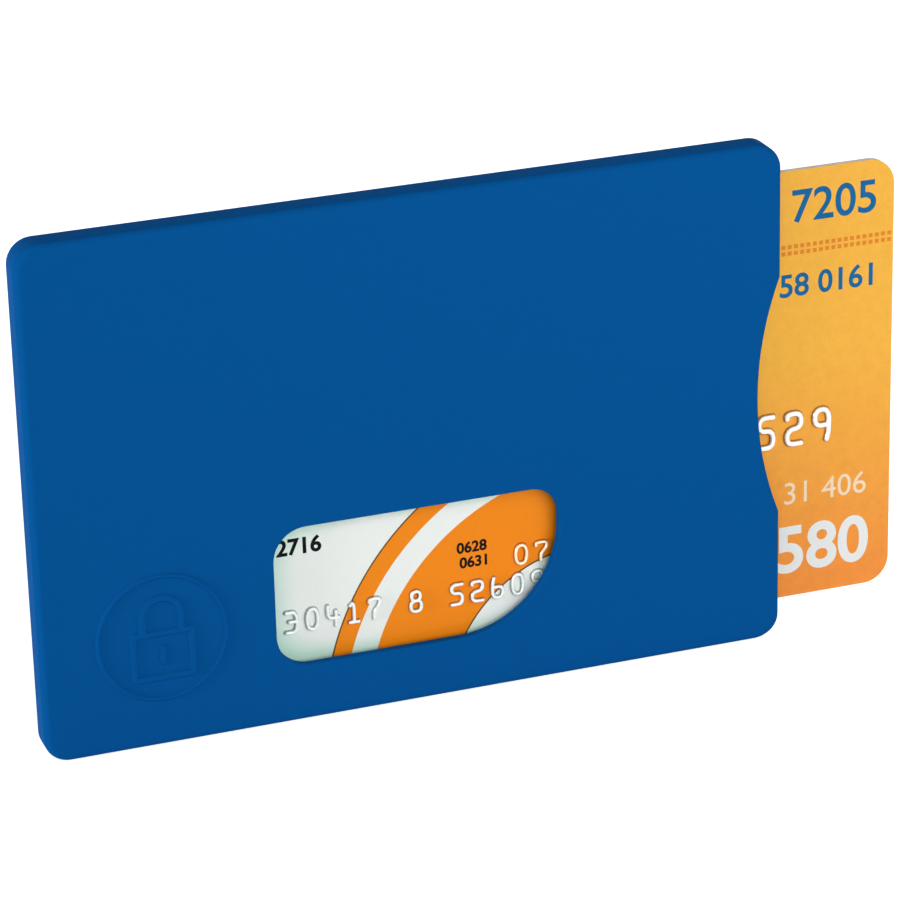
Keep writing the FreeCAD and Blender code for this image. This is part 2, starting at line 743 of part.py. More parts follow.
def card_inlay(doc, s, p, coil):
    """The sheet that carries the coil, with the coil let into it."""
    sheet = card_sheet(doc, s, p, "card_inlay_sheet", p.inlay_front, s.card_inlay)
    capsule_recess(sheet, s, p, p.inlay_front, s.card_inlay)
    inlay = doc.addObject("Part::Cut", "card_inlay")
    inlay.Label = "card_inlay"
    inlay.Base = sheet
    inlay.Tool = coil
    return inlay


def card_rear(doc, s, p):
    """The rear core and overlay, and the stripe and panel let into the overlay."""
    core = card_sheet(doc, s, p, "card_rear_core", p.rear_core_front, s.card_core)
    capsule_rear = p.capsule_front + s.capsule_depth + s.module_clearance
    capsule_recess(core, s, p, p.rear_core_front, capsule_rear - p.rear_core_front)

    overlay_front = p.card_rear - s.card_overlay
    overlay = card_sheet(doc, s, p, "card_rear_overlay", overlay_front, s.card_overlay)
    film_front = p.card_rear - s.rear_film
    stripe_bottom = s.card_height - s.stripe_from_top - s.stripe_height
    panel_length = s.card_length - s.panel_from_left - s.panel_from_right
    panel_bottom = s.card_height - s.panel_from_top - s.panel_height
    places = {
        "card_magnetic_stripe": (ZERO, stripe_bottom, s.card_length, s.stripe_height),
        "card_signature_panel": (s.panel_from_left, panel_bottom, panel_length, s.panel_height),
    }
    pieces = [core, overlay]
    for name, place in places.items():
        recess = new_sketch(overlay, f"{name}_recess", p.card_corner, film_front)
        add_box(recess, *place)
        extrude(overlay, "Pocket", f"{name}_recess_cut", recess, s.rear_film, to_rear=True)
        body = new_body(doc, name)
        outline = new_sketch(body, f"{name}_outline", p.card_corner, film_front)
        add_box(outline, *place)
        extrude(body, "Pad", f"{name}_pad", outline, s.rear_film, to_rear=True)
        pieces.append(body)
    return pieces


def chip_module(doc, s, p):
    """The chip module: contacts on a tape, with the chip in a resin capsule behind it."""
    chip_bottom = s.card_height - s.chip_from_top

    contacts = new_body(doc, "card_contacts")
    contacts.AllowCompound = True
    row_pitch = (s.module_height + s.contact_groove) / s.contact_rows
    pad_width = (s.module_width - s.contact_groove) / 2
    first = new_sketch(contacts, "card_contacts_row", p.card_corner, p.card_front)
    for left in (p.module_left, p.module_left + pad_width + s.contact_groove):
        add_box(first, left, p.module_bottom, pad_width, row_pitch - s.contact_groove)
    row = extrude(contacts, "Pad", "card_contacts_pad", first, s.contact_plate, to_rear=True)
    column = contacts.newObject("PartDesign::LinearPattern", "card_contacts_column")
    column.Originals = [row]
    column.Direction = (first, ["V_Axis"])
    column.setExpression("Length", (row_pitch * (s.contact_rows - 1)).text)
    column.setExpression("Occurrences", s.contact_rows.text)
    contacts.Tip = column

    def block(name, width, height, corner, depth, thickness):
        body = new_body(doc, name)
        outline = new_sketch(body, f"{name}_outline", p.card_corner, depth)
        left, bottom = s.chip_from_left - width / 2, chip_bottom - height / 2
        add_box(outline, left, bottom, width, height, (corner,) * 4)
        extrude(body, "Pad", f"{name}_pad", outline, thickness, to_rear=True)
        return body

    tape = block(
        "card_module_tape",
        s.module_width,
        s.module_height,
        s.module_corner,
        p.tape_front,
        s.module_tape,
    )
    die = block("card_chip", s.die_width, s.die_height, None, p.capsule_front, s.die_depth)
    resin = block(
        "card_capsule_resin",
        s.capsule_width,
        s.capsule_height,
        s.capsule_corner,
        p.capsule_front,
        s.capsule_depth,
    )
    capsule = doc.addObject("Part::Cut", "card_chip_capsule")
    capsule.Label = "card_chip_capsule"
    capsule.Base = resin
    capsule.Tool = die
    return [contacts, tape, die, capsule]


# ------------------------------------------------------------------ the whole part


def check(doc, pieces):
    """Stops before anything is written if an object failed or a piece isn't a valid solid."""
    failed = [o.Name for o in doc.Objects if "Invalid" in o.State or "Error" in o.State]
    if failed:
        raise RuntimeError("failed: " + ", ".join(failed))
    for piece in pieces:
        shape = piece.Shape
        if shape.isNull() or not shape.isValid() or not shape.Solids:
            raise RuntimeError(f"{piece.Label} has no valid solid")


def main():
    doc = FreeCAD.newDocument("card_sleeve")
    s = read_sizes(new_sheet(doc))
    p = shared_places(s)
    coil = antenna(doc, s, p)
    pieces = [front_shell(doc, s, p), rear_shell(doc, s, p)]
    pieces += shielding(doc, s, p)
    pieces += card_front(doc, s, p)
    pieces += [coil, card_inlay(doc, s, p, coil)]
    pieces += card_rear(doc, s, p)
    pieces += chip_module(doc, s, p)
    doc.recompute()
    check(doc, pieces)
    os.makedirs("parts", exist_ok=True)
    for piece in pieces:
        piece.Shape.exportStep(os.path.join("parts", f"{piece.Label}.step"))
        box = piece.Shape.BoundBox
        print(
            f"{piece.Label}: {len(piece.Shape.Solids)} solid(s), {piece.Shape.Volume:.3f} mm3,"
            f" X {box.XMin:.2f}..{box.XMax:.2f}, Y {box.YMin:.3f}..{box.YMax:.3f},"
            f" Z {box.ZMin:.2f}..{box.ZMax:.2f}"
        )


main()
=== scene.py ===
"""Looks of a radio-blocking card sleeve and of the card in it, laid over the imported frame."""

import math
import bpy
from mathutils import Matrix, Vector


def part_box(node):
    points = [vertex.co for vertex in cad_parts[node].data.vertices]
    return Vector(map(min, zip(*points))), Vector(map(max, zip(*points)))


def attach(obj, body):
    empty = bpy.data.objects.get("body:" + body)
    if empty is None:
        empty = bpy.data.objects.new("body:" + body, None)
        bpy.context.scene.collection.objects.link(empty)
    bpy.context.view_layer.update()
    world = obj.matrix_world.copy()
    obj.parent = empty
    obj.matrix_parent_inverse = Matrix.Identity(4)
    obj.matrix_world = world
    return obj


bl_info = {
    "name": "Card sleeve looks",
    "version": (1, 0, 0),
    "blender": (4, 5, 0),
    "location": "View3D > Sidebar > Card sleeve",
    "description": "Finishes, relief, print and embossing of a card sleeve and its card, with a stage",
    "category": "Object",
}

import bpy
import numpy as np
from bpy.props import FloatProperty, FloatVectorProperty, PointerProperty, StringProperty
from mathutils import Matrix, Vector

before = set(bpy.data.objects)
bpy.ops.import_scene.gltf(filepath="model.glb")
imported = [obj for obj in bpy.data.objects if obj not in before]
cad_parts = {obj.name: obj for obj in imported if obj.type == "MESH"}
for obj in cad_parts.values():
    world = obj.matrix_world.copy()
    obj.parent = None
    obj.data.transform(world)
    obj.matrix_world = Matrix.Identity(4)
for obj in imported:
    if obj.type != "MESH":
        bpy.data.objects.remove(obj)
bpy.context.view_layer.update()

MM = 0.001

# Places that the frame gives, in millimetres. X runs to the mouth, Y to the rear and Z up.
CARD_LEFT, CARD_FRONT, CARD_BOTTOM = (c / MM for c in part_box("card_front_overlay")[0])
FACE = -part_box("rear_shell")[1].y / MM
CLOSED_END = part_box("rear_shell")[0].x / MM


def linear(hex_colour):
    """An sRGB hex colour as linear red, green and blue."""
    parts = np.array([int(hex_colour[i : i + 2], 16) for i in (1, 3, 5)]) / 255
    return tuple(np.where(parts <= 0.04045, parts / 12.92, ((parts + 0.055) / 1.055) ** 2.4))


def colour_property(name, description, hex_colour):
    """A colour that a user may change."""
    return FloatVectorProperty(
        name=name,
        description=description,
        subtype="COLOR",
        default=linear(hex_colour),
        min=0,
        max=1,
    )


def length_property(name, description, millimetres):
    """A size that a user may change."""
    return FloatProperty(
        name=name, description=description, subtype="DISTANCE", unit="LENGTH", default=millimetres * MM
    )


class SleeveLook(bpy.types.PropertyGroup):
    """The moulded shells and the badge on the front one"""

    shell: colour_property("Shell colour", "Colour of the moulded halves", "#075497")
    badge_x: length_property("Badge from the end", "Closed end to the badge's centre", 14.4)
    badge_z: length_property("Badge from the edge", "Resting edge to the badge's centre", 13.6)
    badge_radius: length_property("Badge radius", "Radius of the badge's ring", 7.6)
    badge_height: length_property("Badge height", "How far its lines stand off the face", 0.28)


class CardLook(bpy.types.PropertyGroup):
    """The card's print and embossing"""

    amber_top: colour_property("Upper amber", "Print colour of the card's upper half", "#FBBA46")
    amber_low: colour_property("Lower amber", "Print colour at the card's lower edge", "#FB9941")
    field: colour_property("Pale field", "Print colour of the pale field", "#F9FEF8")
    band: colour_property("Bands", "Print colour of the curved bands", "#FF9014")
    blue: colour_property("Blue ink", "Colour of the blue digits", "#0F6AA0")
    number: StringProperty(
        name="Number",
        description="Digits of the large embossed row",
        default="2417 0596 8032 7529",
    )
    emboss: length_property("Embossing", "How far the embossed digits stand off the card", 0.46)


class StageLook(bpy.types.PropertyGroup):
    """The light and the camera"""

    ambient: FloatProperty(
        name="Ambient light",
        description="Strength of the light from all round, at the horizon",
        default=0.4,
        min=0,
    )
    left: FloatProperty(
        name="Left light",
        description="Power of the soft light beside the closed end",
        unit="POWER",
        default=16.0,
        min=0,
    )
    front: FloatProperty(
        name="Front light",
        description="Power of the soft light before the mouth",
        unit="POWER",
        default=1.36,
        min=0,
    )
    rear: FloatProperty(
        name="Rear light",
        description="Power of the soft light behind the sleeve",
        unit="POWER",
        default=0.6,
        min=0,
    )
    lens: FloatProperty(
        name="Lens",
        description="Focal length on a sensor 36 mm wide",
        unit="CAMERA",
        default=162.803,
        min=1,
    )


# ------------------------------------------------------------------ finishes

# Where most values of a noise lie, as a Map Range takes it
NOISE_SPAN = {1: 0.3, 2: 0.7}


def node(tree, kind, inputs=(), take=0, **settings):
    """Adds a shader node and returns its output take, or the node itself where take is None.
    inputs maps a socket to a value, or to the output that feeds it; a colour may be a triple.
    Sockets that share a name go by number: a colour Mix takes its share in 0 and its colours in
    6 and 7, and gives its result in 2. A Map Range takes 1 to 2 onto 3 to 4, or onto 0 to 1."""
    made = tree.nodes.new("ShaderNode" + kind)
    for name, value in settings.items():
        setattr(made, name, value)
    for name, value in dict(inputs).items():
        socket = made.inputs[name]
        if isinstance(value, bpy.types.NodeSocket):
            tree.links.new(value, socket)
        else:
            socket.default_value = (*tuple(value)[:3], 1) if socket.type == "RGBA" else value
    return made if take is None else made.outputs[take]


def new_material(name, **plain):
    """A material with one Principled shader. plain holds the values that are the same all over
    the surface, by socket, with _ for a space."""
    material = bpy.data.materials.new(name)
    material.use_nodes = True
    tree = material.node_tree
    tree.nodes.clear()
    inputs = {key.replace("_", " "): value for key, value in plain.items()}
    shader = node(tree, "BsdfPrincipled", inputs, take=None)
    node(tree, "OutputMaterial", {"Surface": shader.outputs[0]}, take=None)
    return material, tree, shader


def place_in_mm(tree, start=(0, 0, 0), stretch=(1, 1, 1)):
    """Object coordinates in millimetres from a start, each axis times its stretch."""
    here = node(tree, "TexCoord", take="Object")
    shift = tuple(-a * b for a, b in zip(start, stretch))
    scale = tuple(b / MM for b in stretch)
    return node(tree, "Mapping", {"Vector": here, "Location": shift, "Scale": scale})


def grained(name, colours, per_mm, stretch=(1, 1, 1), gloss=None, relief_mm=None, **plain):
    """A finish with one grain. Noise with per_mm features to a millimetre runs from the first
    colour to the second, and from the first roughness in gloss to the second, and stands
    relief_mm high."""
    material, tree, shader = new_material(name, **plain)
    inputs = {"Vector": place_in_mm(tree, stretch=stretch), "Scale": per_mm, "Detail": 3.0}
    grain = node(tree, "TexNoise", inputs)
    share = node(tree, "MapRange", {"Value": grain, **NOISE_SPAN})
    mix = {0: share, 6: colours[0], 7: colours[1]}
    colour = node(tree, "Mix", mix, take=2, data_type="RGBA")
    tree.links.new(colour, shader.inputs["Base Color"])
    if gloss:
        rough = {"Value": grain, **NOISE_SPAN, 3: gloss[0], 4: gloss[1]}
        rough = node(tree, "MapRange", rough)
        tree.links.new(rough, shader.inputs["Roughness"])
    if relief_mm:
        raised = node(tree, "Bump", {"Height": grain, "Distance": relief_mm * MM})
        tree.links.new(raised, shader.inputs["Normal"])
    return material


def satin_abs(colour):
    """ABS, injection moulded in a finely spark-eroded tool. The grain scatters what little the
    dark blue reflects, so the face is even and soft. The tool's grain is about 0.1 mm wide and
    is drawn 0.3 mm wide, so that it shows."""
    return grained(
        "satin_moulded_abs",
        (colour, [c * 1.05 for c in colour]),
        3.3,
        gloss=(0.46, 0.56),
        relief_mm=0.003,
        IOR=1.54,
        Specular_IOR_Level=0.003,
        Specular_Tint=(0.25, 0.7, 1.0),
    )


def rolled_aluminium():
    """Aluminium foil as rolled: bright, with fine lines along the rolling direction."""
    return grained(
        "rolled_aluminium",
        (linear("#CDCFD1"), linear("#DCDEE0")),
        6.0,
        (0.04, 1, 1),
        gloss=(0.28, 0.46),
        relief_mm=0.003,
        Metallic=1.0,
    )


def acrylic_adhesive():
    """Acrylic adhesive, coated as a thin film: milky, with clouds 2.5 mm wide."""
    return grained(
        "acrylic_adhesive", (linear("#D9DAD2"), linear("#E6E6E0")), 0.4, IOR=1.47, Roughness=0.5
    )


def calendered_pvc():
    """White PVC sheet, calendered and then punched: slightly dull on the cut edges."""
    return grained(
        "calendered_pvc", (linear("#D9D3C4"), linear("#E6E2D6")), 0.8, IOR=1.53, Roughness=0.4
    )


def screen_ink(name, colour):
    """Screen-printed ink: dense and flat, a trace lighter where it lies thin."""
    thin = [c + (1 - c) * 0.012 for c in colour]
    return grained(name, (colour, thin), 2.2, Specular_IOR_Level=0.03, Roughness=0.42)


def oxide_stripe():
    """Iron oxide in lacquer, coated along the card: near black, glossy, with faint streaks."""
    return grained(
        "oxide_stripe",
        (linear("#171415"), linear("#241E1D")),
        3.0,
        (0.02, 1, 1),
        gloss=(0.22, 0.34),
        Specular_IOR_Level=0.3,
    )


def gold_plate():
    """Gold on nickel and copper, electroplated on a brushed strip: warm, with a fine grain."""
    return grained(
        "gold_plate",
        (linear("#C79A4B"), linear("#E2BE77")),
        9.0,
        (1, 1, 0.06),
        gloss=(0.2, 0.32),
        Metallic=1.0,
    )


def cast_resin():
    """Filled epoxy, cast over the chip: matt black, with a filler of 0.1 mm."""
    return grained(
        "cast_resin",
        (linear("#141414"), linear("#262625")),
        8.0,
        relief_mm=0.004,
        IOR=1.55,
        Roughness=0.55,
    )


def lapped_silicon():
    """Silicon, sawn and lapped: cool dark grey with a dull gloss."""
    return grained(
        "lapped_silicon", (linear("#4B4F57"), linear("#5C616B")), 4.0, Metallic=0.7, Roughness=0.2
    )


def etched_aluminium():
    """Aluminium foil, etched to a coil: bright with fine pits."""
    return grained(
        "etched_aluminium",
        (linear("#C5C7C9"), linear("#D8DADC")),
        7.0,
        gloss=(0.35, 0.5),
        Metallic=1.0,
    )


def writable_coating():
    """Writable coating, printed on the card's rear: matt off-white, chalky to the touch, with a
    tint of slanted lines, 0.2 mm of each 0.6 mm along the card."""
    material, tree, shader = new_material("writable_coating", Roughness=0.7)
    here = place_in_mm(tree)
    parts = node(tree, "SeparateXYZ", {0: here}, take=None).outputs
    slant = node(tree, "Math", {0: parts[2], 1: 0.5, 2: parts[0]}, operation="MULTIPLY_ADD")
    turn = node(tree, "Math", {0: slant, 1: 0.6}, operation="FLOORED_MODULO")
    line = node(tree, "Math", {0: turn, 1: 0.2}, operation="LESS_THAN")
    mix = {0: line, 6: linear("#EFEEE6"), 7: linear("#D5D9DA")}
    colour = node(tree, "Mix", mix, take=2, data_type="RGBA")
    tree.links.new(colour, shader.inputs["Base Color"])
    chalk = node(tree, "TexNoise", {"Vector": here, "Scale": 5.0, "Detail": 3.0})
    raised = node(tree, "Bump", {"Height": chalk, "Distance": 0.004 * MM})
    tree.links.new(raised, shader.inputs["Normal"])
    return material


def glass_epoxy():
    """Woven glass in epoxy, laminated: olive, with the weave 0.5 mm apart."""
    material, tree, shader = new_material("glass_epoxy", IOR=1.55, Roughness=0.45)
    turns = {0: place_in_mm(tree), "Scale": math.tau / 0.5}
    waves = node(tree, "VectorMath", turns, operation="SCALE")
    waves = node(tree, "VectorMath", {0: waves}, operation="SINE")
    parts = node(tree, "SeparateXYZ", {0: waves}, take=None).outputs
    weave = node(tree, "Math", {0: parts[0], 1: parts[2]}, operation="MULTIPLY")
    share = node(tree, "MapRange", {"Value": weave, 1: -1.0, 2: 1.0})
    mix = {0: share, 6: linear("#6E7340"), 7: linear("#8A8F58")}
    colour = node(tree, "Mix", mix, take=2, data_type="RGBA")
    tree.links.new(colour, shader.inputs["Base Color"])
    return material


# ------------------------------------------------------------------ the card's print

# Places on the card's front, in millimetres from its lower inner corner: along it, a depth that
# no pattern uses, and up it. A span is given by its middle and half its width.
AMBER_RISE = (2.0, 31.0)
DOT_PITCH = 0.8
DOT_WIDTH = 0.5
DOT_ROWS = ((43.85, DOT_WIDTH / 2), (44.65, DOT_WIDTH / 2))
FIELD_CENTRE = (6.0, 0.0, -4.0)
FIELD_REACH = (58.0, 1.0, 36.0)
# A painted green reflection of the window's rim lies on the pale field, about this centre and out to
# this reach
GREEN_CENTRE = (24.75, 0.0, 11.45)
GREEN_REACH = (17.45, 1.0, 8.65)
# the painted green reflection deepens between these, where 1 is at its reach
GREEN_RISE = (0.68, 1.05)
BAND_CENTRE = (46.0, 0.0, -6.0)
BANDS = ((22.34, 5.06), (31.53, 1.13))
BAND_LINES = ((17.28, 0.1), (32.66, 0.1))
DOT_ORANGE = linear("#E0701C")
# colour of the painted reflection of the window's rim
PAINTED_RIM_GREEN = linear("#D2F8E2")
LINE_BROWN = linear("#6B4A2C")
# how strongly the dotted rule covers the amber
RULE_INK = 0.75

# Embossed digits, with heights as shares of their own: their sides are painted darker, as shade,
# over FLANK_RISE, by FLANK_SHADE at most, and the foil comes in over FOIL_RISE, give or take
# FOIL_WEAR. FOIL_METAL is how metallic the foil is.
FLANK_RISE, FLANK_SHADE = (0.02, 0.2), 0.62
FOIL_RISE, FOIL_WEAR, FOIL_METAL = (0.52, 0.68), 0.1, 0.4

# Printed rows, in millimetres from the same corner: digits, right end, baseline, height, ink,
# and how bold they are
PRINTED_ROWS = {
    "print_upper_digits": ("7205", 83.3, 47.5, 4.1, "blue", 0.05),
    "print_second_digits": ("58 0161", 83.0, 38.4, 2.9, "blue", 0.05),
    "print_third_digits": ("31 406", 82.5, 12.0, 2.8, "pale", 0.0),
    "print_lower_digits": ("580", 82.9, 3.0, 6.2, "white", 0.14),
    "print_batch_digits": ("2716", 13.6, 16.0, 2.15, "black", 0.065),
    "print_date_digits": ("0628", 33.8, 12.7, 1.45, "black", 0.045),
    "print_date_digits_lower": ("0631", 33.8, 10.8, 1.45, "black", 0.045),
}
INK_DEPTH = 0.012

# Embossed rows: digits, left end, baseline, a digit's width and height, and digit to digit. The
# large row's digits come from the card's look, and its last one ends at LARGE_END.
LARGE_END, LARGE_BOTTOM, LARGE_DIGIT, LARGE_PITCH = 77.4, 19.85, (1.8, 3.85), 3.63
DATE_ROW = ("07 31", 37.3, 10.35, (1.35, 2.3), 2.54)
LOWER_ROW = ("30417 8 526094", 8.9, 6.5, (1.3, 2.5), 2.54)
# a stroke's width as a share of the digit's height, and how far its flat top and its foot reach
# to each side, as shares of that width
STROKE, STROKE_TOP, STROKE_FOOT = 0.085, 0.5, 1.55


def within(tree, value, spans):
    """1 where a value lies in one of two spans, and 0 outside them."""
    first, second = (
        node(tree, "Math", {0: value, 1: middle, 2: half}, operation="COMPARE")
        for middle, half in spans
    )
    return node(tree, "Math", {0: first, 1: second}, operation="MAXIMUM")


def amber_ground(tree, look, place):
    """Amber that deepens towards the card's lower edge, with a print mottle: blotches 1.5 mm wide
    and specks 0.4 mm wide, each a few per cent lighter or darker."""
    up = node(tree, "SeparateXYZ", {0: place}, take="Z")
    rise = node(tree, "MapRange", {"Value": up, 1: AMBER_RISE[0], 2: AMBER_RISE[1]})
    mix = {0: rise, 6: look.amber_low, 7: look.amber_top}
    ground = node(tree, "Mix", mix, take=2, data_type="RGBA")
    blotch = node(tree, "TexNoise", {"Vector": place, "Scale": 0.7, "Detail": 3.0})
    speck = node(tree, "TexNoise", {"Vector": place, "Scale": 2.6, "Roughness": 0.7})
    blotch = node(tree, "MapRange", {"Value": blotch, **NOISE_SPAN, 3: 0.965, 4: 1.035})
    speck = node(tree, "MapRange", {"Value": speck, **NOISE_SPAN, 3: 0.97, 4: 1.03})
    mottle = node(tree, "Math", {0: blotch, 1: speck}, operation="MULTIPLY")
    return node(tree, "VectorMath", {0: ground, "Scale": mottle}, operation="SCALE")


def dotted_rule(tree, place):
    """1 on two rows of square dots, 0 between them: along the card the place past the last dot's
    start is under a dot's width, and up the card it is within half a dot of a row."""
    parts = node(tree, "SeparateXYZ", {0: place}, take=None).outputs
    turn = node(tree, "Math", {0: parts[0], 1: DOT_PITCH}, operation="FLOORED_MODULO")
    column = node(tree, "Math", {0: turn, 1: DOT_WIDTH}, operation="LESS_THAN")
    rows = within(tree, parts[2], DOT_ROWS)
    return node(tree, "Math", {0: column, 1: rows}, operation="MULTIPLY")


def from_centre(tree, place, centre, reach):
    """Offset from a centre, as a share of the reach along each axis."""
    offset = node(tree, "VectorMath", {0: place, 1: centre}, operation="SUBTRACT")
    return node(tree, "VectorMath", {0: offset, 1: reach}, operation="DIVIDE")


def curved_bands(tree, look, place):
    """Two bands and two thin lines, by the distance from their centre. The pale field between
    them takes on a painted green reflection of the window's rim away from its middle, outside a
    rectangle with soft corners."""
    share = from_centre(tree, place, GREEN_CENTRE, GREEN_REACH)
    square = node(tree, "VectorMath", {0: share, 1: share}, operation="MULTIPLY")
    away = node(tree, "VectorMath", {0: square}, take=1, operation="LENGTH")
    # painted reflection: the field turns green towards the window's rim
    green = node(tree, "MapRange", {"Value": away, 1: GREEN_RISE[0], 2: GREEN_RISE[1]})
    mix = {0: green, 6: look.field, 7: PAINTED_RIM_GREEN}
    colour = node(tree, "Mix", mix, take=2, data_type="RGBA")
    away = node(tree, "VectorMath", {0: place, 1: BAND_CENTRE}, take=1, operation="DISTANCE")
    mix = {0: within(tree, away, BANDS), 6: colour, 7: look.band}
    colour = node(tree, "Mix", mix, take=2, data_type="RGBA")
    mix = {0: within(tree, away, BAND_LINES), 6: colour, 7: LINE_BROWN}
    return node(tree, "Mix", mix, take=2, data_type="RGBA")


def laminated_print(name, look, rear=False, tip=None, flank_shade_colour="#5A3A22"):
    """Offset print under a clear laminate, hot pressed: glossy, with an orange peel 0.8 mm wide. On
    the front the amber ground carries a dotted double rule and a pale field with curved bands,
    and a painted green reflection of the window's rim lies on that field.
    The embossed rows are the same surface, with painted shade darkening their flanks and tips
    of a colour of their own, as hot-stamped foil gives them, a little worn at the edges."""
    material, tree, shader = new_material(name, Specular_IOR_Level=0.14)
    place = place_in_mm(tree, (CARD_LEFT, 0, CARD_BOTTOM), (1, 0, 1))
    colour = amber_ground(tree, look, place)
    if not rear:
        dots = node(tree, "Math", {0: dotted_rule(tree, place), 1: RULE_INK}, operation="MULTIPLY")
        mix = {0: dots, 6: colour, 7: DOT_ORANGE}
        colour = node(tree, "Mix", mix, take=2, data_type="RGBA")
        # the field is an ellipse about its centre
        share = from_centre(tree, place, FIELD_CENTRE, FIELD_REACH)
        away = node(tree, "VectorMath", {0: share}, take=1, operation="LENGTH")
        inside = node(tree, "Math", {0: away, 1: 1.0}, operation="LESS_THAN")
        mix = {0: inside, 6: colour, 7: curved_bands(tree, look, place)}
        colour = node(tree, "Mix", mix, take=2, data_type="RGBA")
    if tip:
        height = node(tree, "Attribute", take="Fac", attribute_name="tip")
        # painted shade: the embossed sides are mixed towards a dark colour as they rise, standing for
        # the shadow that falls on them
        rise = {"Value": height, 1: FLANK_RISE[0], 2: FLANK_RISE[1], 4: FLANK_SHADE}
        side = node(tree, "MapRange", rise)
        mix = {0: side, 6: colour, 7: linear(flank_shade_colour)}
        colour = node(tree, "Mix", mix, take=2, data_type="RGBA")
        rub = node(tree, "TexNoise", {"Vector": place, "Scale": 3.0})
        rub = node(tree, "MapRange", {"Value": rub, **NOISE_SPAN, 3: -FOIL_WEAR, 4: FOIL_WEAR})
        worn = node(tree, "Math", {0: height, 1: rub}, operation="ADD")
        foil = node(tree, "MapRange", {"Value": worn, 1: FOIL_RISE[0], 2: FOIL_RISE[1]})
        mix = {0: foil, 6: colour, 7: linear(tip)}
        colour = node(tree, "Mix", mix, take=2, data_type="RGBA")
        metal = node(tree, "Math", {0: foil, 1: FOIL_METAL}, operation="MULTIPLY")
        tree.links.new(metal, shader.inputs["Metallic"])
    tree.links.new(colour, shader.inputs["Base Color"])
    peel = node(tree, "TexNoise", {"Vector": place, "Scale": 1.2})
    gloss = node(tree, "MapRange", {"Value": peel, **NOISE_SPAN, 3: 0.26, 4: 0.34})
    tree.links.new(gloss, shader.inputs["Roughness"])
    raised = node(tree, "Bump", {"Height": peel, "Distance": 0.002 * MM})
    tree.links.new(raised, shader.inputs["Normal"])
    return material


def finish_nodes(material, *names):
    """Gives CAD nodes a material in place of the plain one that they came with."""
    for name in names:
        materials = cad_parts[name].data.materials
        materials.clear()
        materials.append(material)


def shell_material(look):
    """The shells' plastic, made the first time that it is asked for."""
    return bpy.data.materials.get("satin_moulded_abs") or satin_abs(tuple(look.shell))


# ------------------------------------------------------------------ surfaces

# Raised lines are worked out on a grid of this step, in millimetres
GRID_STEP = 0.06


def add_piece(name, points, faces, body, material, smooth=True):
    """Puts a surface, in millimetres, into an object that rides on a body. faces holds arrays of
    point numbers, one row a face."""
    corners = np.concatenate([part.ravel() for part in faces]).astype(np.int32)
    sides = np.concatenate([np.full(len(part), part.shape[1]) for part in faces])
    mesh = bpy.data.meshes.new(name)
    mesh.vertices.add(len(points))
    mesh.vertices.foreach_set("co", (points * MM).ravel().astype(np.float32))
    mesh.loops.add(len(corners))
    mesh.loops.foreach_set("vertex_index", corners)
    mesh.polygons.add(len(sides))
    mesh.polygons.foreach_set("loop_start", (np.cumsum(sides) - sides).astype(np.int32))
    mesh.polygons.foreach_set("use_smooth", np.full(len(sides), smooth))
    mesh.update(calc_edges=True)
    mesh.materials.append(material)
    piece = bpy.data.objects.new(name, mesh)
    bpy.context.scene.collection.objects.link(piece)
    if body:
        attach(piece, body)
    return piece


def grid_faces(columns, rows):
    """Quads of a grid of points, columns in X and rows in Z or Y, that look to the front or up."""
    first = (np.arange(columns - 1)[:, None] * rows + np.arange(rows - 1)).ravel()
    return first[:, None] + np.array([0, rows, rows + 1, 1])


def closed_shell(flat, front, back, faces):
    """Closes a sheet that looks to the front with the same sheet at depth back. Each side that
    only one face has is the top of a wall between the two. flat holds X and Z, and front each
    point's depth. Points that no face uses are left out. Returns the points, the faces, and the
    numbers of the points that were kept."""
    used, numbers = np.unique(faces, return_inverse=True)
    faces = numbers.reshape(faces.shape)
    count = len(used)
    depths = (np.broadcast_to(front, len(flat))[used], np.full(count, back))
    points = np.concatenate([np.stack([flat[used, 0], y, flat[used, 1]], -1) for y in depths])
    sides = np.stack([faces, np.roll(faces, -1, 1)], -1).reshape(-1, 2)
    pair = np.sort(sides, 1) @ (count, 1)
    _, first, times = np.unique(pair, return_index=True, return_counts=True)
    start, end = sides[first[times == 1]].T
    wall = np.stack([end, start, start + count, end + count], -1)
    return points, [faces, faces[:, ::-1] + count, wall], used


def rounded(corners, closed, rounds=2):
    """Cuts each corner of a path at a quarter and at three quarters of its sides, some rounds."""
    points = np.array(corners, float)
    for _ in range(rounds):
        after = np.roll(points, -1, 0) if closed else points[1:]
        here = points if closed else points[:-1]
        cut = np.stack([here * 0.75 + after * 0.25, here * 0.25 + after * 0.75], 1).reshape(-1, 2)
        points = cut if closed else np.concatenate([points[:1], cut, points[-1:]])
    return points


